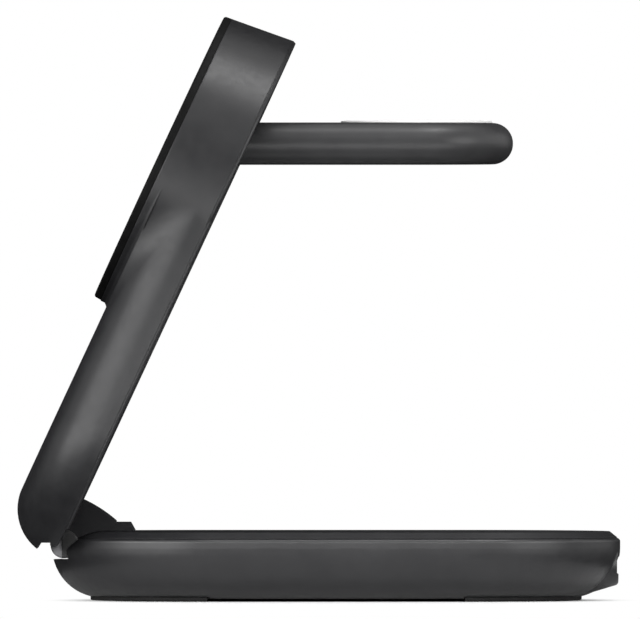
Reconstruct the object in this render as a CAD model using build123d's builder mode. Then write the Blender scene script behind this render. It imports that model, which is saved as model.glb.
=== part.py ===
import os
from math import atan, cos, degrees, radians, sin

from build123d import *

os.makedirs("parts", exist_ok=True)

# Driving dimensions, in millimetres and degrees
arm_angle = 65.0          # charging arm above the table as built
arm_travel = 40.0         # how far it folds towards the table
hinge_z = 10.94           # hinge axis above the table
base_length = 112.5
base_width = 62.0         # both ends are full half circles
tip_reach = 2.42          # base tip beyond the hinge axis
deck_top = 13.61
deck_thick = 1.33
deck_bevel = 1.2          # height of the sloped deck rim
deck_slope = 51.0         # rim slope away from upright
shoulder_round = 0.7      # shell edge below the deck
foot_proud = 0.44
foot_margin = 7.5         # half-moon foot inside the base end
foot_sunk = 0.8
bottom_round = 10.0
nose_round = 10.0         # top corner of the base under the arm
nose_start = 8.2          # where that corner runs into the deck
lip_z = 8.05              # step in the base tip below the hinge barrel
base_wall = 2.0
port_z = 6.9
port_wide = 9.2
port_high = 3.4
port_face = 0.4           # boss round the inlet, behind the base end
port_recess = 0.3
neck_front = 12.2         # arm faces, measured in front of the hinge axis
shell_rear = 1.0
cover_rear = 0.4
pad_front = 15.46
pad_thick = 1.6
head_along = 77.66        # head centre along the arm from the hinge axis
head_rear_radius = 31.96
head_draft = 1.39         # how much smaller the head is at its front
neck_half = 31.0
neck_roll = 9.5           # rolled front edges of the neck
head_blend = 12.0         # hollow blend between head and neck
heel_end = 8.0            # end of the neck's rounded plan beyond the hinge axis
heel_along = 6.91
heel_front = 2.22
heel_round = 10.0
barrel_radius = 2.6
pin_radius = 1.4
ear_radius = 3.1          # half ears on the arm, over the hinge ends
watch_along = 85.5        # watch pivot in the arm
watch_front = 4.5
watch_thick = 8.2
watch_half = 19.1
watch_reach = 56.8        # pivot to tip
puck_radius = 15.0
puck_proud = 0.43
watch_pin_radius = 1.25
bay_depth = 8.9           # bay floor in front of the hinge axis
cowl_radius = 10.5
cowl_half = 7.0

# Clearances
run_fit = 0.05            # turning fits, on the radius
press_fit = 0.02          # pressed fits, on the radius
drop_fit = 0.12           # parts laid into a recess
swing_gap = 0.35          # between a moving piece and its surround
bay_gap = 0.45            # watch arm to the sides of its bay

# Derived values
up_x = cos(radians(arm_angle))
up_z = sin(radians(arm_angle))
shell_top = deck_top - deck_thick
end_radius = base_width / 2
foot_radius = end_radius - foot_margin
base_right = base_length - tip_reach
heel_left = heel_round - (heel_along * up_x - heel_front * up_z)
hinge_x = (heel_left - base_right) / 2
base_mid = hinge_x + base_right - base_length / 2
left_centre = hinge_x - tip_reach + end_radius
right_centre = hinge_x + base_right - end_radius
floor_top = foot_proud + base_wall
nose_z = deck_top - nose_round
head_front_radius = head_rear_radius - head_draft
head_slope = (head_rear_radius - head_front_radius) / (pad_front - cover_rear)
head_taper = degrees(atan(head_slope))
head_front = pad_front - pad_thick
heel_centre = neck_half - heel_end
neck_run = head_along - heel_centre
pivot_x = hinge_x + watch_along * up_x - watch_front * up_z
pivot_z = hinge_z + watch_along * up_z + watch_front * up_x
half_thick = watch_thick / 2
puck_along = watch_reach - watch_half
swing_radius = barrel_radius + swing_gap
ear_sweep = -(ear_radius + swing_gap) * sin(radians(arm_travel + 3))

# Working planes
hinge_side = Plane(origin=(hinge_x, 0, hinge_z), x_dir=(1, 0, 0), z_dir=(0, -1, 0))
arm_plan = Plane(origin=(hinge_x, 0, hinge_z), x_dir=(up_x, 0, up_z), z_dir=(-up_z, 0, up_x))
arm_side = Plane(origin=(hinge_x, 0, hinge_z), x_dir=(up_x, 0, up_z), z_dir=(0, -1, 0))
inlet_face = Plane(origin=(hinge_x + base_right, 0, port_z), x_dir=(0, 1, 0), z_dir=(1, 0, 0))
watch_plan = Plane(origin=(pivot_x, 0, pivot_z))
watch_side = Plane(origin=(pivot_x, 0, pivot_z), x_dir=(1, 0, 0), z_dir=(0, -1, 0))


def head_radius(front):
    return head_rear_radius - (front - cover_rear) * head_slope


def save(built, name):
    built.part.label = name
    export_step(built.part, "parts/" + name + ".step")


# Hinge zones across the width
washer_thick = 0.6
knuckle_in = cowl_half + washer_thick
knuckle_out = knuckle_in + 3.4
notch_half = knuckle_out + 1.2
ear_out = notch_half + 0.9
leaf_rear = 3.1
leaf_front = 4.7
bracket_z = hinge_z - barrel_radius
bracket_thick = 1.6
bracket_end = hinge_x + 28
bracket_posts = [(hinge_x + 14, 9), (hinge_x + 14, -9), (hinge_x + 24, 9), (hinge_x + 24, -9)]
inlet_x = hinge_x + base_right
post_out = end_radius - 13.5
base_posts = [
    (left_centre - 5, post_out),
    (left_centre - 5, -post_out),
    (right_centre + 5, post_out),
    (right_centre + 5, -post_out),
]
post_top = 6.0
screw_shank = 1.0
screw_head = 1.9
pilot = screw_shank + press_fit
board_thick = 0.9
inlet_high = 3.2
board_z = port_z - inlet_high / 2 - board_thick
board_long = 17.0
board_wide = 24.0
board_end = inlet_x - 9.0          # clear of the inlet block's inner wall
board_start = board_end - board_long
board_posts = [
    (board_start + 2, board_wide / 2 - 2.5),
    (board_start + 2, 2.5 - board_wide / 2),
    (board_end - 3, board_wide / 2 - 2.5),
    (board_end - 3, 2.5 - board_wide / 2),
]
ballast_start = bracket_end + 3
ballast_end = board_start - 9
ballast_thick = 2.2
earbud_x = (ballast_start + ballast_end) / 2 + 9
coil_thick = 1.2
ferrite_thick = 0.8
earbud_coil_out = 19.0
earbud_coil_in = 10.0
chip_high = 1.1
inlet_wide = 8.94
inlet_sheet = 0.3
inlet_back = 1.3
inlet_deep = 7.6
tongue_wide = 6.7
tongue_high = 0.7

head_seat = foot_proud + 3.2
deck_inset = shoulder_round - 0.1
cowl_pegs = [(hinge_x + 11.4, 4), (hinge_x + 11.4, -4)]
cowl_foot = deck_top - hinge_z
cowl_step = 4.5
cowl_toe = -0.25
cowl_ridge = [(1.74, 9.85), (6.7, 7.45), (10.35, 4.75)]
ring_radius = 21.0        # groove that marks the place of the earbuds
ring_wide = 0.6
ring_deep = 0.25

# Tool: everything ahead of the rounded base corner and above the lip
with BuildPart() as nose_cut:
    with BuildSketch(hinge_side):
        with BuildLine():
            Polyline(
                (-20, lip_z - hinge_z),
                (nose_start, lip_z - hinge_z),
                (nose_start, 12),
                (-20, 12),
                close=True,
            )
        make_face()
        with Locations((nose_start, nose_z - hinge_z)):
            Circle(nose_round, mode=Mode.SUBTRACT)
    extrude(amount=base_width, both=True)

# Tool: hollow of the base, kept clear of the rounded corner
with BuildPart() as base_hollow:
    with BuildSketch(Plane.XY.offset(floor_top)):
        with Locations((base_mid, 0)):
            SlotOverall(base_length - 2 * base_wall, base_width - 2 * base_wall)
    extrude(amount=shell_top - floor_top)
    fillet(base_hollow.faces().sort_by(Axis.Z)[0].edges(), bottom_round - base_wall)
    with BuildSketch(hinge_side):
        with BuildLine():
            Polyline((-20, -20), (nose_start, -20), (nose_start, 12), (-20, 12), close=True)
        make_face()
        with Locations((nose_start, nose_z - hinge_z)):
            Circle(nose_round - 3.4, mode=Mode.SUBTRACT)
        with Locations((nose_start, nose_z - hinge_z)):
            Rectangle(
                nose_round - 3.4, 20, align=(Align.MAX, Align.MAX), mode=Mode.SUBTRACT
            )
    extrude(amount=base_width, both=True, mode=Mode.SUBTRACT)

# Tool: boss that carries the inlet under the rounded end
with BuildPart() as port_boss:
    with BuildSketch(inlet_face.offset(-port_face)):
        with Locations((0, -0.1)):
            SlotOverall(14, 7.4)
    with BuildSketch(inlet_face.offset(-9.5)):
        with Locations((0, -1.28)):
            SlotOverall(26, 10.4)
    loft()
    fillet(port_boss.faces().sort_by(Axis.X)[-1].edges(), 0.8)
    with BuildSketch(inlet_face.offset(-port_face - port_recess)):
        Rectangle(20, port_high)
    extrude(amount=3, mode=Mode.SUBTRACT)

# Base shell
with BuildPart() as base_shell:
    with BuildSketch(Plane.XY.offset(foot_proud)):
        with Locations((base_mid, 0)):
            SlotOverall(base_length, base_width)
    extrude(amount=shell_top - foot_proud)
    fillet(base_shell.faces().sort_by(Axis.Z)[0].edges(), bottom_round)
    fillet(base_shell.faces().sort_by(Axis.Z)[-1].edges(), shoulder_round)
    add(port_boss.part)
    add(base_hollow.part, mode=Mode.SUBTRACT)
    with BuildSketch(Plane.XY.offset(floor_top - 0.5)):
        with Locations(*base_posts):
            Circle(3.6)
    extrude(amount=post_top - floor_top + 0.5)
    with BuildSketch(Plane.XY.offset(floor_top - 0.5)):
        with Locations(*bracket_posts):
            Circle(2.6)
    extrude(amount=bracket_z - floor_top + 0.5)
    with BuildSketch(Plane.XY.offset(floor_top - 0.5)):
        with Locations(*board_posts):
            Circle(1.7)
    extrude(amount=board_z - floor_top + 0.5)
    add(nose_cut.part, mode=Mode.SUBTRACT)
    # turning room for the hinge barrel
    with BuildSketch(hinge_side):
        Circle(swing_radius)
    extrude(amount=ear_out + swing_gap, both=True, mode=Mode.SUBTRACT)
    with BuildSketch(hinge_side):
        Circle(ear_radius + swing_gap)
        with Locations((0, ear_sweep)):
            Rectangle(20, 20, align=(Align.CENTER, Align.MIN), mode=Mode.INTERSECT)
    extrude(amount=ear_out + swing_gap, both=True, mode=Mode.SUBTRACT)
    # way in for the bracket leaf
    with BuildSketch(hinge_side):
        with Locations((0, bracket_z - hinge_z - drop_fit)):
            Rectangle(
                9, bracket_thick + 2 * drop_fit, align=(Align.MIN, Align.MIN)
            )
    extrude(amount=cowl_half + drop_fit, both=True, mode=Mode.SUBTRACT)
    # recesses for the two half-moon feet
    with BuildSketch(Plane.XY.offset(foot_proud - 2)):
        with Locations((left_centre, 0)):
            Circle(foot_radius)
            Rectangle(base_width, base_width, align=(Align.MIN, Align.CENTER), mode=Mode.SUBTRACT)
    extrude(amount=2 + foot_sunk, mode=Mode.SUBTRACT)
    with BuildSketch(Plane.XY.offset(foot_proud - 2)):
        with Locations((right_centre, 0)):
            Circle(foot_radius)
            Rectangle(base_width, base_width, align=(Align.MAX, Align.CENTER), mode=Mode.SUBTRACT)
    extrude(amount=2 + foot_sunk, mode=Mode.SUBTRACT)
    # screw ways under the feet
    with BuildSketch(Plane.XY.offset(foot_proud)):
        with Locations(*base_posts):
            Circle(screw_head + 0.2)
    extrude(amount=head_seat - foot_proud, mode=Mode.SUBTRACT)
    with BuildSketch(Plane.XY):
        with Locations(*base_posts):
            Circle(screw_shank + drop_fit)
    extrude(amount=10, mode=Mode.SUBTRACT)
    with BuildSketch(Plane.XY.offset(bracket_z - 4)):
        with Locations(*bracket_posts):
            Circle(pilot)
    extrude(amount=4, mode=Mode.SUBTRACT)
    # inlet
    with BuildSketch(inlet_face.offset(2)):
        SlotOverall(port_wide, port_high)
    extrude(amount=-12, mode=Mode.SUBTRACT)
save(base_shell, "base_shell")

# Base deck
with BuildPart() as base_deck:
    with BuildSketch(Plane.XY.offset(shell_top)):
        with Locations((base_mid, 0)):
            SlotOverall(base_length - 2 * deck_inset, base_width - 2 * deck_inset)
    extrude(amount=deck_thick - deck_bevel)
    with BuildSketch(Plane.XY.offset(deck_top - deck_bevel)):
        with Locations((base_mid, 0)):
            SlotOverall(base_length - 2 * deck_inset, base_width - 2 * deck_inset)
    extrude(amount=deck_bevel, taper=deck_slope)
    add(nose_cut.part, mode=Mode.SUBTRACT)
    with BuildSketch(Plane.XY.offset(post_top)):
        with Locations(*base_posts):
            Circle(2.8)
            Circle(pilot, mode=Mode.SUBTRACT)
    extrude(amount=shell_top - post_top)
    with BuildSketch(Plane.XY.offset(shell_top)):
        with Locations(*cowl_pegs):
            Circle(1.0 + run_fit)
    extrude(amount=deck_thick, mode=Mode.SUBTRACT)
    with BuildSketch(Plane.XY.offset(deck_top)):
        with Locations((earbud_x, 0)):
            Circle(ring_radius + ring_wide / 2)
            Circle(ring_radius - ring_wide / 2, mode=Mode.SUBTRACT)
    extrude(amount=-ring_deep, mode=Mode.SUBTRACT)
save(base_deck, "base_deck")

# Half-moon feet
with BuildPart() as hinge_end_foot:
    with BuildSketch(Plane.XY):
        with Locations((left_centre, 0)):
            Circle(foot_radius - drop_fit)
        with Locations((left_centre - drop_fit, 0)):
            Rectangle(base_width, base_width, align=(Align.MIN, Align.CENTER), mode=Mode.SUBTRACT)
    extrude(amount=foot_proud + foot_sunk)
    fillet(hinge_end_foot.faces().sort_by(Axis.Z)[0].edges(), 0.25)
save(hinge_end_foot, "hinge_end_foot")

with BuildPart() as inlet_end_foot:
    with BuildSketch(Plane.XY):
        with Locations((right_centre, 0)):
            Circle(foot_radius - drop_fit)
        with Locations((right_centre + drop_fit, 0)):
            Rectangle(base_width, base_width, align=(Align.MAX, Align.CENTER), mode=Mode.SUBTRACT)
    extrude(amount=foot_proud + foot_sunk)
    fillet(inlet_end_foot.faces().sort_by(Axis.Z)[0].edges(), 0.25)
save(inlet_end_foot, "inlet_end_foot")

# Screws that close the base from below
with BuildPart() as base_screws:
    with BuildSketch(Plane.XY.offset(head_seat - 1.6)):
        with Locations(*base_posts):
            Circle(screw_head)
            RegularPolygon(1.1, 6, mode=Mode.SUBTRACT)
    extrude(amount=0.9)
    with BuildSketch(Plane.XY.offset(head_seat - 0.7)):
        with Locations(*base_posts):
            Circle(screw_head)
    extrude(amount=0.7)
    with BuildSketch(Plane.XY.offset(head_seat)):
        with Locations(*base_posts):
            Circle(screw_shank)
    extrude(amount=7)
save(base_screws, "base_screws")

# Steel plate that weighs the base down
with BuildPart() as ballast_plate:
    with BuildSketch(Plane.XY.offset(floor_top)):
        with Locations(((ballast_start + ballast_end) / 2, 0)):
            RectangleRounded(ballast_end - ballast_start, base_width - 24, 3)
    extrude(amount=ballast_thick)
save(ballast_plate, "ballast_plate")

# Main board and inlet
with BuildPart() as main_board:
    with BuildSketch(Plane.XY.offset(board_z)):
        with Locations((board_start, 0)):
            Rectangle(board_long, board_wide, align=(Align.MIN, Align.CENTER))
        with Locations((board_end, 0)):
            Rectangle(3.4, inlet_wide + 2, align=(Align.MIN, Align.CENTER))
    extrude(amount=board_thick)
    with BuildSketch(Plane.XY.offset(board_z + board_thick)):
        with Locations((board_start + 8, 4.5), (board_start + 8, -5.5)):
            Rectangle(5, 5)
        with Locations((board_start + 3, 0)):
            Rectangle(3, 6)
    extrude(amount=chip_high)
save(main_board, "main_board")

with BuildPart() as usb_c_receptacle:
    with BuildSketch(inlet_face.offset(-inlet_back)):
        SlotOverall(inlet_wide, inlet_high)
    extrude(amount=-inlet_deep)
    with BuildSketch(inlet_face.offset(-inlet_back)):
        SlotOverall(inlet_wide - 2 * inlet_sheet, inlet_high - 2 * inlet_sheet)
    extrude(amount=1 - inlet_deep, mode=Mode.SUBTRACT)
    with BuildSketch(inlet_face.offset(-inlet_back - 0.6)):
        Rectangle(tongue_wide, tongue_high)
    extrude(amount=1.4 - inlet_deep)
save(usb_c_receptacle, "usb_c_receptacle")

# Earbud coil under the deck
with BuildPart() as earbud_coil:
    with BuildSketch(Plane.XY.offset(shell_top - coil_thick)):
        with Locations((earbud_x, 0)):
            Circle(earbud_coil_out)
            Circle(earbud_coil_in, mode=Mode.SUBTRACT)
    extrude(amount=coil_thick)
save(earbud_coil, "earbud_coil")

with BuildPart() as earbud_ferrite:
    with BuildSketch(Plane.XY.offset(shell_top - coil_thick - ferrite_thick)):
        with Locations((earbud_x, 0)):
            Circle(earbud_coil_out + 1)
    extrude(amount=ferrite_thick)
save(earbud_ferrite, "earbud_ferrite")

# Steel bracket fixed in the base, with the middle hinge knuckle
with BuildPart() as base_hinge_bracket:
    with BuildSketch(hinge_side):
        Circle(barrel_radius)
        with Locations((0, -barrel_radius)):
            Rectangle(11, bracket_thick, align=(Align.MIN, Align.MIN))
        Circle(pin_radius + run_fit, mode=Mode.SUBTRACT)
    extrude(amount=cowl_half, both=True)
    with BuildSketch(Plane.XY.offset(bracket_z)):
        with Locations((hinge_x + 10, 0)):
            Rectangle(bracket_end - hinge_x - 10, 25, align=(Align.MIN, Align.CENTER))
        with Locations(*bracket_posts):
            Circle(screw_shank + drop_fit, mode=Mode.SUBTRACT)
    extrude(amount=bracket_thick)
save(base_hinge_bracket, "base_hinge_bracket")

with BuildPart() as base_hinge_screws:
    with BuildSketch(Plane.XY.offset(bracket_z + bracket_thick)):
        with Locations(*bracket_posts):
            Circle(screw_head)
    extrude(amount=1.1)
    with BuildSketch(Plane.XY.offset(bracket_z - 3.8)):
        with Locations(*bracket_posts):
            Circle(screw_shank)
    extrude(amount=3.8 + bracket_thick)
save(base_hinge_screws, "base_hinge_screws")

# Cowl over the hinge, a wedge the arm swallows as it folds
with BuildPart() as hinge_cowl:
    with BuildSketch(hinge_side):
        with BuildLine():
            ThreePointArc(*cowl_ridge)
            Polyline(
                cowl_ridge[-1],
                (cowl_ridge[-1][0], cowl_step),
                (13.2, cowl_step),
                (14.2, cowl_foot),
                (nose_start, cowl_foot),
                (cowl_toe, 0),
                cowl_ridge[0],
            )
        make_face()
        with Locations((nose_start, nose_z - hinge_z)):
            Circle(nose_round + press_fit, mode=Mode.SUBTRACT)
        with Locations((nose_start, cowl_foot)):
            Rectangle(20, 20, align=(Align.MIN, Align.MAX), mode=Mode.SUBTRACT)
        Circle(barrel_radius + drop_fit, mode=Mode.SUBTRACT)
    extrude(amount=cowl_half, both=True)
    with BuildSketch(Plane.XY.offset(deck_top - 1.1)):
        with Locations(*cowl_pegs):
            Circle(1.0)
    extrude(amount=1.6)
save(hinge_cowl, "hinge_cowl")

# Arm layout, along the arm and in front of the hinge axis
cavity_half = 24.0
cavity_start = 13.5
neck_wall_rear = 10.4
head_rim = 2.66           # wall round the hollow of the head
head_cavity = head_rear_radius - head_rim
magnet_gap = 1.8
magnet_wide = 4.1
magnet_out = head_cavity - magnet_gap
magnet_in = magnet_out - magnet_wide
magnet_thick = 1.5
coil_gap = 1.4
phone_coil_out = magnet_in - coil_gap
phone_coil_in = 10.0
head_wall_rear = 12.66
bracket_boss = [(16.8, 9.2), (16.8, -9.2)]
phone_board_posts = [(23.3, 14), (23.3, -14)]
phone_board_rear = 6.0
cover_start = ear_radius + 0.05
cover_bevel = 25.0
cover_screws_at = [(9.5, 14.3), (9.5, -14.3)]
cover_pad_front = 2.6
slot_mid = heel_centre + neck_run / 2
ear_edge = -0.35
lip_out = -5.25           # thin lip left under the heel
lip_in = -4.5
lip_tip = -0.62
heel_recess = 0.55
foot_flare = [(12.0, 1.5), (12.7, 0.5), (13.7, 0.0)]
pocket_radius = cowl_radius + 1.1
pocket_half = cowl_half + 0.4
bay_half = watch_half + bay_gap
bay_low = watch_along - puck_along
tub_wall = 1.2
tub_half = bay_half + tub_wall
tub_top = 93.8
pin_boss = tub_half + 2.0
stop_gap = half_thick + 0.1

# Arm shell: rounded neck growing into a drafted round head, with a rolled heel
with BuildPart() as arm_shell:
    with BuildSketch(arm_plan.offset(shell_rear)):
        with Locations((slot_mid, 0)):
            SlotCenterToCenter(neck_run, 2 * neck_half)
    extrude(amount=neck_front - shell_rear)
    fillet(arm_shell.faces().filter_by(arm_plan).sort_by(Axis.X)[0].edges(), neck_roll)
    # the head starts too tall, is blended into the neck and then faced off
    with BuildSketch(arm_plan.offset(shell_rear)):
        with Locations((head_along, 0)):
            Circle(head_radius(shell_rear))
    extrude(amount=head_front - shell_rear + 2 * head_blend, taper=head_taper)
    fillet(arm_shell.edges(Select.NEW), head_blend)
    with BuildSketch(arm_plan.offset(neck_front)):
        with Locations((head_along, 0)):
            Rectangle(200, 120)
            Circle(head_radius(neck_front), mode=Mode.SUBTRACT)
    extrude(amount=4 * head_blend, mode=Mode.SUBTRACT)
    with BuildSketch(arm_plan.offset(head_front)):
        with Locations((head_along, 0)):
            Circle(head_rear_radius)
    extrude(amount=4 * head_blend, mode=Mode.SUBTRACT)
    with BuildSketch(arm_side):
        with Locations((heel_along, heel_front)):
            Circle(heel_round)
        with Locations((heel_along, 0)):
            Rectangle(120, 60, align=(Align.MIN, Align.CENTER))
    extrude(amount=60, both=True, mode=Mode.INTERSECT)
    # soft foot of the head on the neck
    for front, shift in foot_flare:
        with BuildSketch(arm_plan.offset(front)):
            with Locations((head_along - shift, 0)):
                Circle(head_radius(front) - 0.2)
    loft()
    # underside of the heel, with a thin lip left outside
    with BuildSketch(hinge_side):
        with BuildLine():
            Polyline(
                (lip_out, -20),
                (lip_out, lip_tip),
                (lip_in, heel_recess),
                (-barrel_radius, heel_recess),
                (-barrel_radius, 0),
                (20, 0),
                (20, -20),
                close=True,
            )
        make_face()
    extrude(amount=60, both=True, mode=Mode.SUBTRACT)
    # turning room for the barrel and pocket for the cowl
    with BuildSketch(hinge_side):
        Circle(swing_radius)
    extrude(amount=notch_half, both=True, mode=Mode.SUBTRACT)
    with BuildSketch(arm_side):
        Circle(pocket_radius)
        with BuildLine():
            Polyline((0, -20), (0, 0), (11.5, 20), (30, 20), (30, -20), close=True)
        make_face(mode=Mode.INTERSECT)
    extrude(amount=pocket_half, both=True, mode=Mode.SUBTRACT)
    # ways in for the bracket leaves
    with BuildSketch(arm_plan):
        with Locations((-0.62, 9.3), (-0.62, -9.3)):
            Rectangle(15, 3.64, align=(Align.MIN, Align.CENTER))
    extrude(amount=leaf_front + drop_fit, mode=Mode.SUBTRACT)
    # half ears that hide the ends of the hinge
    for side in (notch_half, -ear_out):
        with BuildSketch(hinge_side.offset(side)):
            Circle(ear_radius)
            Rectangle(8, 8, align=(Align.CENTER, Align.MIN), mode=Mode.INTERSECT)
            Circle(barrel_radius)
            with Locations((ear_edge, 0)):
                Rectangle(8, 8, align=(Align.MIN, Align.CENTER), mode=Mode.INTERSECT)
        extrude(amount=ear_out - notch_half)
    # hollow
    with BuildSketch(arm_plan.offset(shell_rear)):
        with Locations((slot_mid, 0)):
            SlotCenterToCenter(neck_run, 2 * cavity_half)
        with Locations((cavity_start, 0)):
            Rectangle(120, 80, align=(Align.MIN, Align.CENTER), mode=Mode.INTERSECT)
    extrude(amount=neck_wall_rear - shell_rear, mode=Mode.SUBTRACT)
    with BuildSketch(arm_plan.offset(shell_rear)):
        with Locations((head_along, 0)):
            Circle(head_cavity)
    extrude(amount=head_wall_rear - shell_rear, mode=Mode.SUBTRACT)
    with BuildSketch(arm_plan.offset(leaf_front)):
        with Locations(*bracket_boss):
            Circle(2.3)
            Circle(pilot, mode=Mode.SUBTRACT)
    extrude(amount=neck_wall_rear - leaf_front)
    with BuildSketch(arm_plan.offset(phone_board_rear + board_thick)):
        with Locations(*phone_board_posts):
            Circle(1.6)
    extrude(amount=neck_wall_rear - phone_board_rear - board_thick)
    # seats of the cover screws
    with BuildSketch(arm_plan):
        with Locations(*cover_screws_at):
            Circle(2.6 + drop_fit)
    extrude(amount=cover_pad_front, mode=Mode.SUBTRACT)
    with BuildSketch(arm_plan):
        with Locations(*cover_screws_at):
            Circle(pilot)
    extrude(amount=8, mode=Mode.SUBTRACT)
save(arm_shell, "arm_shell")

# Phone pad
with BuildPart() as phone_pad:
    with BuildSketch(arm_plan.offset(head_front)):
        with Locations((head_along, 0)):
            Circle(head_radius(head_front))
    extrude(amount=pad_thick, taper=head_taper)
    fillet(phone_pad.faces().filter_by(arm_plan).sort_by(Axis.X)[0].edges(), 0.5)
save(phone_pad, "phone_pad")

# Phone charger inside the head
with BuildPart() as magnet_ring:
    with BuildSketch(arm_plan.offset(head_wall_rear - magnet_thick)):
        with Locations((head_along, 0)):
            Circle(magnet_out)
            Circle(magnet_in, mode=Mode.SUBTRACT)
    extrude(amount=magnet_thick)
save(magnet_ring, "magnet_ring")

with BuildPart() as phone_coil:
    with BuildSketch(arm_plan.offset(head_wall_rear - coil_thick)):
        with Locations((head_along, 0)):
            Circle(phone_coil_out)
            Circle(phone_coil_in, mode=Mode.SUBTRACT)
    extrude(amount=coil_thick)
save(phone_coil, "phone_coil")

with BuildPart() as phone_ferrite:
    with BuildSketch(arm_plan.offset(head_wall_rear - coil_thick - ferrite_thick)):
        with Locations((head_along, 0)):
            Circle(phone_coil_out + 0.8)
    extrude(amount=ferrite_thick)
save(phone_ferrite, "phone_ferrite")

with BuildPart() as phone_board:
    with BuildSketch(arm_plan.offset(phone_board_rear)):
        with Locations((23.3, 0)):
            Rectangle(6.6, 36)
    extrude(amount=board_thick)
    with BuildSketch(arm_plan.offset(phone_board_rear + board_thick)):
        with Locations((23.3, 5), (23.3, -4)):
            Rectangle(4, 4)
    extrude(amount=1.1)
save(phone_board, "phone_board")

# Steel bracket fixed in the arm, with the outer hinge knuckles
with BuildPart() as arm_hinge_bracket:
    with BuildSketch(arm_side.offset(knuckle_in)):
        Circle(barrel_radius)
        with Locations((-0.5, 0)):
            Rectangle(3.1, leaf_front, align=(Align.MIN, Align.MIN))
        with Locations((0, leaf_rear)):
            Rectangle(14, leaf_front - leaf_rear, align=(Align.MIN, Align.MIN))
        Circle(pin_radius + press_fit, mode=Mode.SUBTRACT)
    extrude(amount=knuckle_out - knuckle_in)
    with BuildSketch(arm_side.offset(-knuckle_out)):
        Circle(barrel_radius)
        with Locations((-0.5, 0)):
            Rectangle(3.1, leaf_front, align=(Align.MIN, Align.MIN))
        with Locations((0, leaf_rear)):
            Rectangle(14, leaf_front - leaf_rear, align=(Align.MIN, Align.MIN))
        Circle(pin_radius + press_fit, mode=Mode.SUBTRACT)
    extrude(amount=knuckle_out - knuckle_in)
    with BuildSketch(arm_plan.offset(leaf_rear)):
        with Locations((cavity_start + 0.2, 0)):
            Rectangle(6, 2 * knuckle_out, align=(Align.MIN, Align.CENTER))
        with Locations(*bracket_boss):
            Circle(screw_shank + drop_fit, mode=Mode.SUBTRACT)
    extrude(amount=leaf_front - leaf_rear)
save(arm_hinge_bracket, "arm_hinge_bracket")

with BuildPart() as arm_hinge_screws:
    with BuildSketch(arm_plan.offset(leaf_rear - 1.1)):
        with Locations(*bracket_boss):
            Circle(screw_head)
    extrude(amount=1.1)
    with BuildSketch(arm_plan.offset(leaf_rear)):
        with Locations(*bracket_boss):
            Circle(screw_shank)
    extrude(amount=6)
save(arm_hinge_screws, "arm_hinge_screws")

# Hinge pin, friction washers and nut
with BuildPart() as hinge_pin:
    with BuildSketch(hinge_side.offset(knuckle_out)):
        Circle(2.3)
    extrude(amount=0.8)
    with BuildSketch(hinge_side.offset(knuckle_out)):
        Circle(pin_radius)
    extrude(amount=-2 * knuckle_out - 0.9)
save(hinge_pin, "hinge_pin")

with BuildPart() as hinge_washers:
    with BuildSketch(hinge_side.offset(cowl_half)):
        Circle(barrel_radius - 0.1)
        Circle(pin_radius + press_fit, mode=Mode.SUBTRACT)
    extrude(amount=washer_thick)
    with BuildSketch(hinge_side.offset(-knuckle_in)):
        Circle(barrel_radius - 0.1)
        Circle(pin_radius + press_fit, mode=Mode.SUBTRACT)
    extrude(amount=washer_thick)
save(hinge_washers, "hinge_washers")

with BuildPart() as hinge_nut:
    with BuildSketch(hinge_side.offset(-knuckle_out)):
        RegularPolygon(2.5, 6)
        Circle(pin_radius + press_fit, mode=Mode.SUBTRACT)
    extrude(amount=-0.9)
save(hinge_nut, "hinge_nut")

# Tool: bay in the back of the arm that takes the folded watch arm
with BuildPart() as watch_bay:
    with BuildSketch(arm_side):
        with Locations((watch_along, bay_depth)):
            Rectangle(70, 20, align=(Align.MAX, Align.MAX))
        with Locations((watch_along, watch_front)):
            Circle(half_thick + swing_gap)
        with BuildLine():
            Polyline(
                (watch_along, watch_front),
                (watch_along + stop_gap * up_z, watch_front + stop_gap * up_x),
                (watch_along + stop_gap * up_z + 20 * up_x, watch_front + stop_gap * up_x - 20 * up_z),
                (watch_along, watch_front - 20),
                close=True,
            )
        make_face()
    extrude(amount=bay_half, both=True)
    with BuildSketch(arm_plan.offset(-20)):
        with Locations((bay_low, 0)):
            Circle(bay_half)
            Rectangle(80, 2 * bay_half, align=(Align.MIN, Align.CENTER))
    extrude(amount=40, mode=Mode.INTERSECT)

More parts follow.
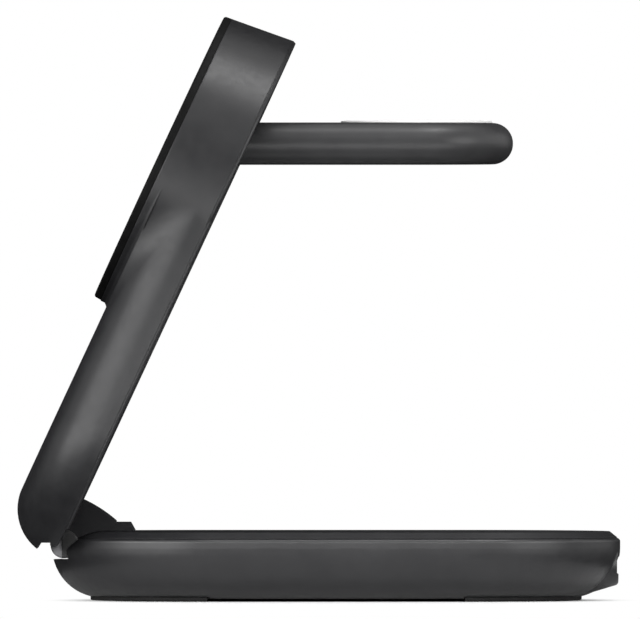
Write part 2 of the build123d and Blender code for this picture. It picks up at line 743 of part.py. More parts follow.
# Rear cover, one piece with the tub round the bay
with BuildPart() as arm_rear_cover:
    with BuildSketch(arm_plan.offset(shell_rear)):
        with Locations((slot_mid, 0)):
            SlotCenterToCenter(neck_run, 2 * neck_half)
        with Locations((head_along, 0)):
            Circle(head_radius(shell_rear))
        with Locations((cover_start, 0)):
            Rectangle(120, 80, align=(Align.MIN, Align.CENTER), mode=Mode.INTERSECT)
    extrude(amount=cover_rear - shell_rear, taper=cover_bevel)
    with BuildSketch(arm_plan.offset(shell_rear)):
        with Locations((slot_mid, 0)):
            SlotCenterToCenter(neck_run, 2 * (cavity_half - drop_fit))
        with Locations((head_along, 0)):
            Circle(head_cavity - drop_fit)
        with Locations((cavity_start + drop_fit, 0)):
            Rectangle(120, 80, align=(Align.MIN, Align.CENTER), mode=Mode.INTERSECT)
    extrude(amount=0.6)
    with BuildSketch(arm_plan.offset(shell_rear)):
        with Locations((bay_low, 0)):
            Circle(tub_half)
        with Locations((bay_low, 0)):
            Rectangle(tub_top - bay_low, 2 * tub_half, align=(Align.MIN, Align.CENTER))
    extrude(amount=bay_depth + 1 - shell_rear)
    with BuildSketch(arm_side):
        with Locations((watch_along, watch_front)):
            Circle(3.2)
    extrude(amount=pin_boss, both=True)
    add(watch_bay.part, mode=Mode.SUBTRACT)
    with BuildSketch(arm_side):
        with Locations((watch_along, watch_front)):
            Circle(watch_pin_radius + press_fit)
    extrude(amount=pin_boss, both=True, mode=Mode.SUBTRACT)
    with BuildSketch(arm_plan.offset(shell_rear)):
        with Locations(*cover_screws_at):
            Circle(2.6)
    extrude(amount=cover_pad_front - shell_rear)
    with BuildSketch(arm_plan):
        with Locations(*cover_screws_at):
            Circle(1.7)
    extrude(amount=1.8, mode=Mode.SUBTRACT)
    with BuildSketch(arm_plan):
        with Locations(*cover_screws_at):
            Circle(screw_shank + drop_fit)
    extrude(amount=4, mode=Mode.SUBTRACT)
    with BuildSketch(arm_plan):
        Rectangle(2 * (pocket_radius + 0.4), 2 * pocket_half + 0.4)
    extrude(amount=4, mode=Mode.SUBTRACT)
save(arm_rear_cover, "arm_rear_cover")

with BuildPart() as rear_cover_screws:
    with BuildSketch(arm_plan.offset(0.6)):
        with Locations(*cover_screws_at):
            Circle(1.6)
            RegularPolygon(0.8, 6, mode=Mode.SUBTRACT)
    extrude(amount=0.7)
    with BuildSketch(arm_plan.offset(1.3)):
        with Locations(*cover_screws_at):
            Circle(1.6)
    extrude(amount=0.5)
    with BuildSketch(arm_plan.offset(1.8)):
        with Locations(*cover_screws_at):
            Circle(screw_shank)
    extrude(amount=5.5)
save(rear_cover_screws, "rear_cover_screws")

with BuildPart() as watch_pin:
    with BuildSketch(watch_side):
        Circle(watch_pin_radius)
    extrude(amount=pin_boss - 0.1, both=True)
save(watch_pin, "watch_pin")

# Watch arm layout, along it from the pivot and above its middle
watch_edge = half_thick - 0.05
watch_start = 7.5
lid_thick = 1.4
lid_half = 14.9
puck_seat = 2.3
coil_room = 13.6
watch_coil_out = 13.0
watch_coil_in = 6.0
watch_magnet_radius = 4.5
bush_radius = 2.2
bush_start = 12.0
watch_bosses = [(12, 9), (12, -9)]

# Watch arm body, rounded all round
with BuildPart() as watch_shell:
    with BuildSketch(watch_plan.offset(-half_thick)) as watch_outline:
        with Locations((-half_thick, 0)):
            Rectangle(puck_along + half_thick, 2 * watch_half, align=(Align.MIN, Align.CENTER))
        with Locations((puck_along, 0)):
            Circle(watch_half)
        fillet(watch_outline.vertices().group_by(Axis.X)[0], half_thick + 0.2)
    extrude(amount=watch_thick)
    fillet(watch_shell.faces().filter_by(Axis.Z).edges(), watch_edge)
    with BuildSketch(watch_side):
        Circle(3.0)
    extrude(amount=watch_half + 0.2, both=True)
    # seat of the puck
    with BuildSketch(watch_plan.offset(puck_seat)):
        with Locations((puck_along, 0)):
            Circle(puck_radius + drop_fit)
    extrude(amount=watch_thick, mode=Mode.SUBTRACT)
    # room for the coil and the wires
    with BuildSketch(watch_plan.offset(-half_thick)):
        with Locations((puck_along, 0)):
            Circle(coil_room)
    extrude(amount=half_thick + puck_seat, mode=Mode.SUBTRACT)
    with BuildSketch(watch_plan.offset(-half_thick)):
        with Locations((watch_start + 1, 0)):
            Rectangle(
                puck_along - watch_start - 1, 2 * coil_room, align=(Align.MIN, Align.CENTER)
            )
    extrude(amount=half_thick + puck_seat, mode=Mode.SUBTRACT)
    with BuildSketch(watch_plan.offset(lid_thick - half_thick)):
        with Locations(*watch_bosses):
            Circle(2.2)
            Circle(pilot, mode=Mode.SUBTRACT)
    extrude(amount=half_thick - lid_thick + puck_seat)
    # recess of the bottom cover
    with BuildSketch(watch_plan.offset(-half_thick)):
        with Locations((puck_along, 0)):
            Circle(lid_half)
        with Locations((watch_start, 0)):
            Rectangle(puck_along - watch_start, 2 * lid_half, align=(Align.MIN, Align.CENTER))
    extrude(amount=lid_thick, mode=Mode.SUBTRACT)
    # bore of the pivot
    with BuildSketch(watch_side):
        Circle(watch_pin_radius + run_fit)
    extrude(amount=30, both=True, mode=Mode.SUBTRACT)
    with BuildSketch(watch_side.offset(bush_start)):
        Circle(bush_radius + press_fit)
    extrude(amount=30, mode=Mode.SUBTRACT)
    with BuildSketch(watch_side.offset(-bush_start)):
        Circle(bush_radius + press_fit)
    extrude(amount=-30, mode=Mode.SUBTRACT)
save(watch_shell, "watch_shell")

with BuildPart() as watch_bottom_cover:
    with BuildSketch(watch_plan.offset(-half_thick)):
        with Locations((puck_along, 0)):
            Circle(lid_half - drop_fit)
        with Locations((watch_start + drop_fit, 0)):
            Rectangle(
                puck_along - watch_start - drop_fit,
                2 * (lid_half - drop_fit),
                align=(Align.MIN, Align.CENTER),
            )
    extrude(amount=lid_thick)
    with BuildSketch(watch_plan.offset(-half_thick)):
        with Locations(*watch_bosses):
            Circle(screw_head + 0.1)
    extrude(amount=0.8, mode=Mode.SUBTRACT)
    with BuildSketch(watch_plan.offset(-half_thick)):
        with Locations(*watch_bosses):
            Circle(screw_shank + drop_fit)
    extrude(amount=lid_thick, mode=Mode.SUBTRACT)
save(watch_bottom_cover, "watch_bottom_cover")

with BuildPart() as watch_screws:
    with BuildSketch(watch_plan.offset(0.1 - half_thick)):
        with Locations(*watch_bosses):
            Circle(screw_head)
            RegularPolygon(0.8, 6, mode=Mode.SUBTRACT)
    extrude(amount=0.4)
    with BuildSketch(watch_plan.offset(0.5 - half_thick)):
        with Locations(*watch_bosses):
            Circle(screw_head)
    extrude(amount=0.3)
    with BuildSketch(watch_plan.offset(0.8 - half_thick)):
        with Locations(*watch_bosses):
            Circle(screw_shank)
    extrude(amount=4.5)
save(watch_screws, "watch_screws")

with BuildPart() as watch_puck:
    with BuildSketch(watch_plan.offset(puck_seat)):
        with Locations((puck_along, 0)):
            Circle(puck_radius)
    extrude(amount=half_thick + puck_proud - puck_seat)
    fillet(watch_puck.faces().sort_by(Axis.Z)[-1].edges(), 0.3)
save(watch_puck, "watch_puck")

with BuildPart() as watch_coil:
    with BuildSketch(watch_plan.offset(puck_seat - coil_thick)):
        with Locations((puck_along, 0)):
            Circle(watch_coil_out)
            Circle(watch_coil_in, mode=Mode.SUBTRACT)
    extrude(amount=coil_thick)
save(watch_coil, "watch_coil")

with BuildPart() as watch_magnet:
    with BuildSketch(watch_plan.offset(puck_seat - coil_thick)):
        with Locations((puck_along, 0)):
            Circle(watch_magnet_radius)
    extrude(amount=coil_thick)
save(watch_magnet, "watch_magnet")

with BuildPart() as watch_ferrite:
    with BuildSketch(watch_plan.offset(puck_seat - coil_thick - ferrite_thick)):
        with Locations((puck_along, 0)):
            Circle(watch_coil_out + 0.2)
    extrude(amount=ferrite_thick)
save(watch_ferrite, "watch_ferrite")

with BuildPart() as watch_bushes:
    with BuildSketch(watch_side.offset(bush_start)):
        Circle(bush_radius)
        Circle(watch_pin_radius + run_fit, mode=Mode.SUBTRACT)
    extrude(amount=watch_half + 0.2 - bush_start)
    with BuildSketch(watch_side.offset(-bush_start)):
        Circle(bush_radius)
        Circle(watch_pin_radius + run_fit, mode=Mode.SUBTRACT)
    extrude(amount=bush_start - watch_half - 0.2)
save(watch_bushes, "watch_bushes")
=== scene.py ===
import math
import bmesh
import bpy
from mathutils import Matrix, Vector


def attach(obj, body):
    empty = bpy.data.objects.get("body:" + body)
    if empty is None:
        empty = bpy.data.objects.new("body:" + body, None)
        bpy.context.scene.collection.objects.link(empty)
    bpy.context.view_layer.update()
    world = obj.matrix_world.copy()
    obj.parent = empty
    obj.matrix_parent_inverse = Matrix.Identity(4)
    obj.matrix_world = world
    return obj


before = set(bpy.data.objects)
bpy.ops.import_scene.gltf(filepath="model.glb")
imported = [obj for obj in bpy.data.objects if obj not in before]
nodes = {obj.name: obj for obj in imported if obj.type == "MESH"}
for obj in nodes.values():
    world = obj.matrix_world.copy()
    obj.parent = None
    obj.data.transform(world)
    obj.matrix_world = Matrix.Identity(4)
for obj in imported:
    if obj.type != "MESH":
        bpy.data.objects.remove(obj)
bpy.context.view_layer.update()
print("charger frame loaded,", len(nodes), "nodes")

# a few places on the charger, in metres
place = {
    "headCentre": (-0.01767, 0, 0.08132),
    "headLean": math.radians(-65),
    "puckCentre": (0.01926, 0, 0.09033),
    "earbudCentre": (0.01155, 0, 0.0123),
    "inletFace": 0.059586,
    "inletHeight": 0.0069,
}
noiseSpan = (0.3, 0.7)  # most of a noise lies in here


# small helpers for the finishes
def startFinish(name):
    finish = bpy.data.materials.new(name)
    finish.use_nodes = True
    tree = finish.node_tree
    return finish, tree, tree.nodes["Principled BSDF"]


def spot(tree, centre=(0, 0, 0), lean=0, stretch=(1, 1, 1)):
    coords = tree.nodes.new("ShaderNodeTexCoord")
    move = tree.nodes.new("ShaderNodeMapping")
    move.vector_type = "TEXTURE"
    move.inputs["Location"].default_value = centre
    move.inputs["Rotation"].default_value = (0, lean, 0)
    move.inputs["Scale"].default_value = stretch
    tree.links.new(coords.outputs["Object"], move.inputs["Vector"])
    return move.outputs["Vector"]


def noise(tree, where, scale, detail=3, rough=0.55):
    tex = tree.nodes.new("ShaderNodeTexNoise")
    tex.inputs["Scale"].default_value = scale
    tex.inputs["Detail"].default_value = detail
    tex.inputs["Roughness"].default_value = rough
    tree.links.new(where, tex.inputs["Vector"])
    return tex.outputs["Fac"]


def tint(tree, factor, stops, target):
    ramp = tree.nodes.new("ShaderNodeValToRGB")
    for i, (at, shade) in enumerate(stops):
        stop = ramp.color_ramp.elements[i] if i < 2 else ramp.color_ramp.elements.new(at)
        stop.position = at
        stop.color = (*shade, 1)
    tree.links.new(factor, ramp.inputs["Fac"])
    tree.links.new(ramp.outputs["Color"], target)


def spread(tree, factor, low, high, target):
    span = tree.nodes.new("ShaderNodeMapRange")
    span.inputs["From Min"].default_value, span.inputs["From Max"].default_value = noiseSpan
    span.inputs["To Min"].default_value = low
    span.inputs["To Max"].default_value = high
    tree.links.new(factor, span.inputs["Value"])
    tree.links.new(span.outputs["Result"], target)


def relief(tree, factor, strength, depth, shader, under=None):
    bump = tree.nodes.new("ShaderNodeBump")
    bump.inputs["Strength"].default_value = strength
    bump.inputs["Distance"].default_value = depth
    tree.links.new(factor, bump.inputs["Height"])
    if under:
        tree.links.new(under, bump.inputs["Normal"])
    tree.links.new(bump.outputs["Normal"], shader.inputs["Normal"])


def lengthOf(tree, where):
    away = tree.nodes.new("ShaderNodeVectorMath")
    away.operation = "LENGTH"
    tree.links.new(where, away.inputs[0])
    return away.outputs["Value"]


def eased(tree, value, start, stop):
    ease = tree.nodes.new("ShaderNodeMapRange")
    ease.interpolation_type = "SMOOTHSTEP"
    ease.inputs["From Min"].default_value = start
    ease.inputs["From Max"].default_value = stop
    tree.links.new(value, ease.inputs["Value"])
    return ease.outputs["Result"]


# paints shade into the base colour: darker within a radius of the hinge axis, standing in for the shadow in the
# hinge gap
def paintHingeShade(tree, hingeShade, target):
    away = lengthOf(tree, spot(tree, hingeShade["centre"], stretch=hingeShade["stretch"]))
    shadeMask = eased(tree, away, hingeShade["radius"] * hingeShade["softFrom"], hingeShade["radius"])
    mix = tree.nodes.new("ShaderNodeMix")
    mix.data_type = "RGBA"
    mix.inputs["A"].default_value = (*hingeShade["shade"], 1)
    tree.links.new(shadeMask, mix.inputs["Factor"])
    tree.links.new(target.links[0].from_socket, mix.inputs["B"])
    tree.links.new(mix.outputs["Result"], target)


moulding = {
    "edgeRadius": 0.0004,  # the small radius every moulded edge has
    "edgeSamples": 6,
    "finer": 4,  # patches of gloss are this much smaller than patches of colour
}


def mouldedFinish(look):
    finish, tree, shader = startFinish(look["name"])
    here = spot(tree)
    cloud = noise(tree, here, look["cloud"], 2)
    stops = zip(noiseSpan, (look["dark"], look["light"]))
    tint(tree, cloud, stops, shader.inputs["Base Color"])
    # painted shade round the hinge axis, where the look asks for one
    if "hingeShade" in look:
        paintHingeShade(tree, look["hingeShade"], shader.inputs["Base Color"])
    patches = noise(tree, here, look["cloud"] * moulding["finer"])
    spread(tree, patches, *look["rough"], shader.inputs["Roughness"])
    soft = tree.nodes.new("ShaderNodeBevel")
    soft.samples = moulding["edgeSamples"]
    soft.inputs["Radius"].default_value = moulding["edgeRadius"]
    grain = noise(tree, here, look["grain"], 2)
    relief(tree, grain, look["grainForce"], look["grainDepth"], shader, soft.outputs["Normal"])
    shader.inputs["Specular IOR Level"].default_value = look["gloss"]
    return finish


# satin grey housing, spark-eroded in the mould
satin = {"cloud": 180, "rough": (0.36, 0.42), "grain": 3200, "grainForce": 0.10, "grainDepth": 0.00003}
bodySatin = mouldedFinish({
    **satin, "name": "bodySatin", "gloss": 0.50,
    "dark": (0.010, 0.010, 0.011), "light": (0.014, 0.014, 0.015),
})
# the same on the arm, less glossy, with painted shade darkening it round the hinge axis, where the hinge gap
# lies in shadow
armSatinHingeShaded = mouldedFinish({
    **satin, "name": "armSatinHingeShaded", "gloss": 0.30,
    "dark": (0.012, 0.012, 0.013), "light": (0.017, 0.017, 0.018),
    "hingeShade": {"centre": (-0.0478, 0, 0.01094), "radius": 0.0031, "softFrom": 0.9,
            "stretch": (1, 1000, 1), "shade": (0.004, 0.004, 0.004)},
})
# and on the watch arm, painted paler: a lighter copy of the same satin that stands in for the light falling on
# the watch arm
watchSatinPaintedLighter = mouldedFinish({
    **satin, "name": "watchSatinPaintedLighter", "gloss": 0.26,
    "dark": (0.032, 0.032, 0.033), "light": (0.039, 0.039, 0.040),
})
# darker soft-touch deck
deckMatt = mouldedFinish({
    "name": "deckMatt", "dark": (0.007, 0.007, 0.008), "light": (0.010, 0.010, 0.011), "cloud": 260,
    "rough": (0.50, 0.58), "grain": 4200, "grainForce": 0.14, "grainDepth": 0.00003, "gloss": 0.22,
})
cowlMatt = mouldedFinish({
    "name": "cowlMatt", "dark": (0.007, 0.007, 0.008), "light": (0.010, 0.010, 0.011), "cloud": 320,
    "rough": (0.42, 0.52), "grain": 3600, "grainForce": 0.15, "grainDepth": 0.00003, "gloss": 0.12,
})
padSilicone = mouldedFinish({
    "name": "padSilicone", "dark": (0.003, 0.003, 0.003), "light": (0.005, 0.005, 0.005), "cloud": 420,
    "rough": (0.52, 0.62), "grain": 5200, "grainForce": 0.18, "grainDepth": 0.00003, "gloss": 0.07,
})
footRubber = mouldedFinish({
    "name": "footRubber", "dark": (0.005, 0.005, 0.005), "light": (0.009, 0.009, 0.009), "cloud": 500,
    "rough": (0.72, 0.84), "grain": 1900, "grainForce": 0.35, "grainDepth": 0.00006, "gloss": 0.25,
})
puckWhite = mouldedFinish({
    "name": "puckWhite", "dark": (0.83, 0.83, 0.82), "light": (0.88, 0.88, 0.87), "cloud": 140,
    "rough": (0.44, 0.50), "grain": 2600, "grainForce": 0.02, "grainDepth": 0.00002, "gloss": 0.25,
})
tongueBlack = mouldedFinish({
    "name": "tongueBlack", "dark": (0.012, 0.012, 0.012), "light": (0.018, 0.018, 0.018), "cloud": 900,
    "rough": (0.45, 0.55), "grain": 6000, "grainForce": 0.12, "grainDepth": 0.00002, "gloss": 0.4,
})

metal = {"span": (0.25, 0.75), "detail": 4, "markDepth": 0.00002}


def metalFinish(look):
    finish, tree, shader = startFinish(look["name"])
    streak = noise(tree, spot(tree, stretch=look["stretch"]), look["streak"], metal["detail"])
    tint(tree, streak, zip(metal["span"], (look["dark"], look["light"])), shader.inputs["Base Color"])
    spread(tree, streak, *look["rough"], shader.inputs["Roughness"])
    relief(tree, streak, look["force"], metal["markDepth"], shader)
    shader.inputs["Metallic"].default_value = 1
    return finish


# turned steel, tool marks run round the hinge line
turnedSteel = metalFinish({
    "name": "turnedSteel", "dark": (0.12, 0.12, 0.125), "light": (0.19, 0.19, 0.195), "streak": 900,
    "stretch": (30, 1, 30), "rough": (0.28, 0.42), "force": 0.12,
})
rolledSteel = metalFinish({
    "name": "rolledSteel", "dark": (0.36, 0.36, 0.37), "light": (0.46, 0.46, 0.47), "streak": 700,
    "stretch": (40, 1, 1), "rough": (0.32, 0.48), "force": 0.15,
})
bronzeSintered = metalFinish({
    "name": "bronzeSintered", "dark": (0.32, 0.20, 0.09), "light": (0.46, 0.30, 0.14), "streak": 3000,
    "stretch": (1, 1, 1), "rough": (0.40, 0.60), "force": 0.25,
})
goldContacts = metalFinish({
    "name": "goldContacts", "dark": (0.72, 0.49, 0.17), "light": (0.83, 0.60, 0.25), "streak": 2400,
    "stretch": (12, 1, 1), "rough": (0.18, 0.28), "force": 0.05,
})

# litz wire wound flat, a turn about every 0.7 mm
litz = {
    "stops": [(0, (0.22, 0.08, 0.03)), (0.5, (0.62, 0.27, 0.12)), (1, (0.72, 0.36, 0.18))],
    "distortion": 0.3, "rough": (0.42, 0.26), "force": 0.6, "depth": 0.0001,
}


def windingFinish(look):
    finish, tree, shader = startFinish(look["name"])
    wave = tree.nodes.new("ShaderNodeTexWave")
    wave.wave_type = "RINGS"
    wave.rings_direction = "Z"
    wave.inputs["Scale"].default_value = look["turns"]
    wave.inputs["Distortion"].default_value = litz["distortion"]
    tree.links.new(spot(tree, look["centre"], look["lean"]), wave.inputs["Vector"])
    tint(tree, wave.outputs["Fac"], litz["stops"], shader.inputs["Base Color"])
    spread(tree, wave.outputs["Fac"], *litz["rough"], shader.inputs["Roughness"])
    relief(tree, wave.outputs["Fac"], litz["force"], litz["depth"], shader)
    shader.inputs["Metallic"].default_value = 1
    return finish


phoneWinding = windingFinish({
    "name": "phoneWinding", "centre": place["headCentre"], "lean": place["headLean"], "turns": 450,
})
earbudWinding = windingFinish({
    "name": "earbudWinding", "centre": place["earbudCentre"], "lean": 0, "turns": 450,
})
watchWinding = windingFinish({
    "name": "watchWinding", "centre": place["puckCentre"], "lean": 0, "turns": 520,
})

# nickel-plated magnets, dark in the joints between blocks
plating = {
    "stops": [(0.0, (0.06, 0.06, 0.06)), (0.04, (0.50, 0.49, 0.47)), (1.0, (0.56, 0.55, 0.53))],
    "patches": 900, "rough": (0.22, 0.36),
}


def magnetFinish(look):
    finish, tree, shader = startFinish(look["name"])
    around = tree.nodes.new("ShaderNodeTexGradient")
    around.gradient_type = "RADIAL"
    tree.links.new(spot(tree, look["centre"], look["lean"]), around.inputs["Vector"])
    count = tree.nodes.new("ShaderNodeMath")
    count.operation = "MULTIPLY"
    count.inputs[1].default_value = look["blocks"]
    tree.links.new(around.outputs["Fac"], count.inputs[0])
    part = tree.nodes.new("ShaderNodeMath")
    part.operation = "FRACT"
    tree.links.new(count.outputs[0], part.inputs[0])
    tint(tree, part.outputs[0], plating["stops"], shader.inputs["Base Color"])
    spread(tree, noise(tree, spot(tree), plating["patches"]), *plating["rough"], shader.inputs["Roughness"])
    shader.inputs["Metallic"].default_value = 1
    return finish


magnetBlocks = magnetFinish({
    "name": "magnetBlocks", "centre": place["headCentre"], "lean": place["headLean"], "blocks": 18,
})
magnetButton = magnetFinish({
    "name": "magnetButton", "centre": place["puckCentre"], "lean": 0, "blocks": 1,
})


def ferriteFinish(look):
    finish, tree, shader = startFinish(look["name"])
    chips = tree.nodes.new("ShaderNodeTexVoronoi")
    chips.inputs["Scale"].default_value = look["chips"]
    tree.links.new(spot(tree), chips.inputs["Vector"])
    tint(tree, chips.outputs["Distance"], look["stops"], shader.inputs["Base Color"])
    spread(tree, chips.outputs["Distance"], *look["rough"], shader.inputs["Roughness"])
    relief(tree, chips.outputs["Distance"], look["force"], look["depth"], shader)
    return finish


ferriteGrey = ferriteFinish({
    "name": "ferriteGrey", "chips": 1600, "stops": [(0.1, (0.020, 0.020, 0.022)), (0.7, (0.045, 0.044, 0.044))],
    "rough": (0.5, 0.75), "force": 0.2, "depth": 0.00004,
})


def boardFinish(look):
    finish, tree, shader = startFinish(look["name"])
    tracks = tree.nodes.new("ShaderNodeTexBrick")
    tracks.inputs["Scale"].default_value = look["tracks"]
    tracks.inputs["Mortar Size"].default_value = look["trackWide"]
    tracks.inputs["Color1"].default_value = (*look["mask"], 1)
    tracks.inputs["Color2"].default_value = (*look["paleMask"], 1)
    tracks.inputs["Mortar"].default_value = (*look["overTrack"], 1)
    tree.links.new(spot(tree), tracks.inputs["Vector"])
    tree.links.new(tracks.outputs["Color"], shader.inputs["Base Color"])
    spread(tree, noise(tree, spot(tree), look["patches"]), *look["rough"], shader.inputs["Roughness"])
    relief(tree, tracks.outputs["Fac"], look["force"], look["depth"], shader)
    return finish


boardMask = boardFinish({
    "name": "boardMask", "tracks": 420, "trackWide": 0.06, "mask": (0.010, 0.055, 0.030),
    "paleMask": (0.012, 0.070, 0.036), "overTrack": (0.030, 0.130, 0.070), "patches": 1500,
    "rough": (0.30, 0.42), "force": 0.3, "depth": 0.00003,
})
print("finishes mixed")

# which node wears which finish
wears = [
    (bodySatin, ["base_shell"]),
    (armSatinHingeShaded, ["arm_shell", "arm_rear_cover"]),
    (watchSatinPaintedLighter, ["watch_shell", "watch_bottom_cover"]),
    (deckMatt, ["base_deck"]),
    (cowlMatt, ["hinge_cowl"]),
    (padSilicone, ["phone_pad"]),
    (footRubber, ["hinge_end_foot", "inlet_end_foot"]),
    (puckWhite, ["watch_puck"]),
    (turnedSteel, ["base_hinge_bracket", "arm_hinge_bracket", "hinge_pin", "hinge_washers", "hinge_nut",
                   "watch_pin"]),
    (rolledSteel, ["ballast_plate", "usb_c_receptacle", "base_screws", "base_hinge_screws",
                   "rear_cover_screws", "arm_hinge_screws", "watch_screws"]),
    (phoneWinding, ["phone_coil"]),
    (earbudWinding, ["earbud_coil"]),
    (watchWinding, ["watch_coil"]),
    (magnetBlocks, ["magnet_ring"]),
    (magnetButton, ["watch_magnet"]),
    (ferriteGrey, ["phone_ferrite", "earbud_ferrite", "watch_ferrite"]),
    (boardMask, ["main_board", "phone_board"]),
    (bronzeSintered, ["watch_bushes"]),
]
for finish, names in wears:
    for name in names:
        nodes[name].data.materials.clear()
        nodes[name].data.materials.append(finish)
print("nodes dressed")


def placed(name, mesh, finish):
    data = bpy.data.meshes.new(name)
    mesh.to_mesh(data)
    mesh.free()
    data.materials.append(finish)
    thing = bpy.data.objects.new(name, data)
    bpy.context.scene.collection.objects.link(thing)
    return thing


def newPiece(name, mesh, finish, body):
    piece = placed(name, mesh, finish)
    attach(piece, body)


def block(mesh, centre, size, bevel):
    made = bmesh.ops.create_cube(mesh, size=1, matrix=Matrix.Translation(centre) @ Matrix.Diagonal((*size, 1)))
    edges = list({e for v in made["verts"] for e in v.link_edges})
    bmesh.ops.bevel(mesh, geom=edges, offset=bevel, offset_type="OFFSET", affect="EDGES", segments=2,
                    profile=0.5, material=-1)


# plastic skin of the inlet's tongue and its gold contacts
inlet = {
    "tongueWide": 0.00678, "tongueHigh": 0.00078, "tongueLong": 0.0061, "tongueBack": 0.0049,
    "tongueEdge": 0.00012, "contacts": 12, "pitch": 0.0005, "wide": 0.00027, "long": 0.0036,
    "thick": 0.00006, "contactBack": 0.0042, "contactEdge": 0.00001,
}
skin = bmesh.new()
block(skin, (place["inletFace"] - inlet["tongueBack"], 0, place["inletHeight"]),
      (inlet["tongueLong"], inlet["tongueWide"], inlet["tongueHigh"]), inlet["tongueEdge"])
newPiece("inlet_tongue", skin, tongueBlack, "base")
strips = bmesh.new()
for i in range(inlet["contacts"]):
    across = (i - (inlet["contacts"] - 1) / 2) * inlet["pitch"]
    for side in (-1, 1):
        up = place["inletHeight"] + side * inlet["tongueHigh"] / 2
        block(strips, (place["inletFace"] - inlet["contactBack"], across, up),
              (inlet["long"], inlet["wide"], inlet["thick"]), inlet["contactEdge"])
newPiece("inlet_contacts", strips, goldContacts, "base")
print("inlet detailed")

# camera level with the charger, far off and long, as the photograph is
view = {"across": 0.12673, "away": 5.0, "aim": (0.00014, 0.0575), "sensor": 36, "farClip": 40}
lens = bpy.data.cameras.new("sideCamera")
lens.sensor_width = view["sensor"]
lens.lens = view["sensor"] * view["away"] / view["across"]
lens.clip_end = view["farClip"]
camera = bpy.data.objects.new("sideCamera", lens)
camera.location = (view["aim"][0], -view["away"], view["aim"][1])
camera.rotation_euler = (math.radians(90), 0, 0)
bpy.context.scene.collection.objects.link(camera)
bpy.context.scene.camera = camera


def softbox(look):
    lamp = bpy.data.lights.new(look["name"], "AREA")
    lamp.shape = "RECTANGLE"
    lamp.size, lamp.size_y = look["size"]
    lamp.energy = look["power"]
    box = bpy.data.objects.new(look["name"], lamp)
    box.location = look["at"]
    aim = Vector(look["to"]) - Vector(look["at"])
    box.rotation_euler = aim.to_track_quat("-Z", "Y").to_euler()
    box.visible_camera = False
    bpy.context.scene.collection.objects.link(box)


softbox({"name": "keyBox", "size": (0.34, 0.24), "power": 3.2,
         "at": (0.18, -0.14, 0.85), "to": (0, 0, 0.05)})
softbox({"name": "leftBox", "size": (0.86, 0.40), "power": 7.4,
         "at": (-0.62, -0.61, 0.24), "to": (0, 0, 0.05)})
softbox({"name": "rightBox", "size": (0.45, 0.40), "power": 2.8,
         "at": (0.74, -0.47, 0.26), "to": (0, 0, 0.03)})
softbox({"name": "fillBox", "size": (0.60, 0.40), "power": 0.9,
         "at": (0.1, -0.85, 0.75), "to": (0, 0, 0.05)})
softbox({"name": "backBox", "size": (0.60, 0.50), "power": 1.0,
         "at": (0.80, 0.42, 0.25), "to": (0, 0, 0.05)})
# low in front, for the soft line of light along the base
softbox({"name": "lowStrip", "size": (0.30, 0.03), "power": 0.22,
         "at": (0.02, -0.17, 0.045), "to": (0.005, -0.03, 0.01)})


def darkCard(look):
    upright = Matrix.Rotation(math.radians(90), 4, "X") @ Matrix.Diagonal((*look["size"], 1, 1))
    sheet = bmesh.new()
    bmesh.ops.create_grid(sheet, x_segments=1, y_segments=1, size=0.5,
                          matrix=Matrix.Translation(look["at"]) @ upright)
    card = placed(look["name"], sheet, cowlMatt)
    card.visible_camera = False


# dark cards behind and in front of the charger keep its edges from washing out
darkCard({"name": "backCard", "at": (0, 1.0, 0.6), "size": (6.0, 1.8)})
darkCard({"name": "frontCard", "at": (0, -2.2, 0.6), "size": (3.4, 1.8)})


def darkApron(look):
    sheet = bmesh.new()
    for across, deep in (look["inner"], look["outer"]):
        oval = Matrix.Translation(look["at"]) @ Matrix.Diagonal((across, deep, 1, 1))
        bmesh.ops.create_circle(sheet, segments=look["segments"], radius=1, matrix=oval)
    bmesh.ops.bridge_loops(sheet, edges=sheet.edges[:])
    apron = placed(look["name"], sheet, cowlMatt)
    apron.visible_camera = False


# and one laid on the floor keeps its underside dark
darkApron({"name": "floorApron", "at": (0.0046, 0, 0.0001), "inner": (0.066, 0.070), "outer": (2.0, 2.0),
           "segments": 64})


def joined(tree, how, one, other):
    step = tree.nodes.new("ShaderNodeMath")
    step.operation = how
    tree.links.new(one, step.inputs[0])
    tree.links.new(other, step.inputs[1])
    return step.outputs[0]


def mirrored(tree, rays):
    return joined(tree, "MAXIMUM", rays["Is Glossy Ray"], rays["Is Transmission Ray"])


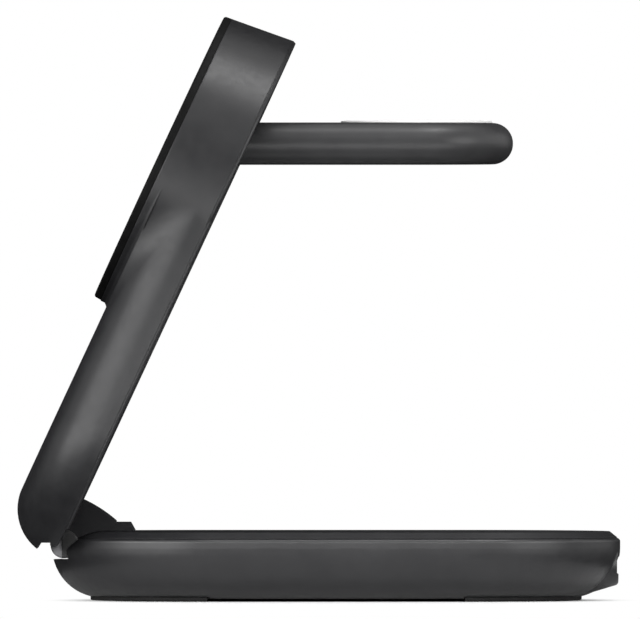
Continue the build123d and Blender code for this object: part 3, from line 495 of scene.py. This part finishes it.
# pale world, white where it is seen
paleRoom = {"shade": (0.95, 0.97, 1.0), "strength": 0.3}
world = bpy.data.worlds.new("paleRoom")
bpy.context.scene.world = world
world.use_nodes = True
sky = world.node_tree
sky.nodes.clear()
rays = sky.nodes.new("ShaderNodeLightPath").outputs
room = sky.nodes.new("ShaderNodeBackground")
room.inputs["Color"].default_value = (*paleRoom["shade"], 1)
room.inputs["Strength"].default_value = paleRoom["strength"]
white = sky.nodes.new("ShaderNodeBackground")
white.inputs["Color"].default_value = (1, 1, 1, 1)
white.inputs["Strength"].default_value = 1
pick = sky.nodes.new("ShaderNodeMixShader")
out = sky.nodes.new("ShaderNodeOutputWorld")
sky.links.new(joined(sky, "MAXIMUM", rays["Is Camera Ray"], mirrored(sky, rays)), pick.inputs[0])
sky.links.new(room.outputs[0], pick.inputs[1])
sky.links.new(white.outputs[0], pick.inputs[2])
sky.links.new(pick.outputs[0], out.inputs[0])

# round pale floor that fades into the white
ground = {
    "radius": 0.40, "segments": 96, "height": -0.0001, "middle": (0.0046, 0, 0), "shape": (1, 1.08, 1),
    "seen": (0.043, 0.060), "mirrored": (0.060, 0.120), "shade": (0.74, 0.74, 0.74),
}
floorFinish = bpy.data.materials.new("paleFloor")
floorFinish.use_nodes = True
tree = floorFinish.node_tree
tree.nodes.clear()
plain = tree.nodes.new("ShaderNodeBsdfDiffuse")
plain.inputs["Color"].default_value = (*ground["shade"], 1)
glow = tree.nodes.new("ShaderNodeEmission")
reach = lengthOf(tree, spot(tree, ground["middle"], stretch=ground["shape"]))
looks = tree.nodes.new("ShaderNodeLightPath").outputs
seen = joined(tree, "MULTIPLY", eased(tree, reach, *ground["seen"]), looks["Is Camera Ray"])
shown = joined(tree, "MULTIPLY", eased(tree, reach, *ground["mirrored"]), mirrored(tree, looks))
mix = tree.nodes.new("ShaderNodeMixShader")
end = tree.nodes.new("ShaderNodeOutputMaterial")
tree.links.new(joined(tree, "MAXIMUM", seen, shown), mix.inputs[0])
tree.links.new(plain.outputs[0], mix.inputs[1])
tree.links.new(glow.outputs[0], mix.inputs[2])
tree.links.new(mix.outputs[0], end.inputs[0])
disc = bmesh.new()
bmesh.ops.create_circle(disc, cap_ends=True, segments=ground["segments"], radius=ground["radius"],
                        matrix=Matrix.Translation((0, 0, ground["height"])))
floor = placed("paleFloor", disc, floorFinish)
print("studio lit")

bpy.context.scene.view_settings.view_transform = "Standard"
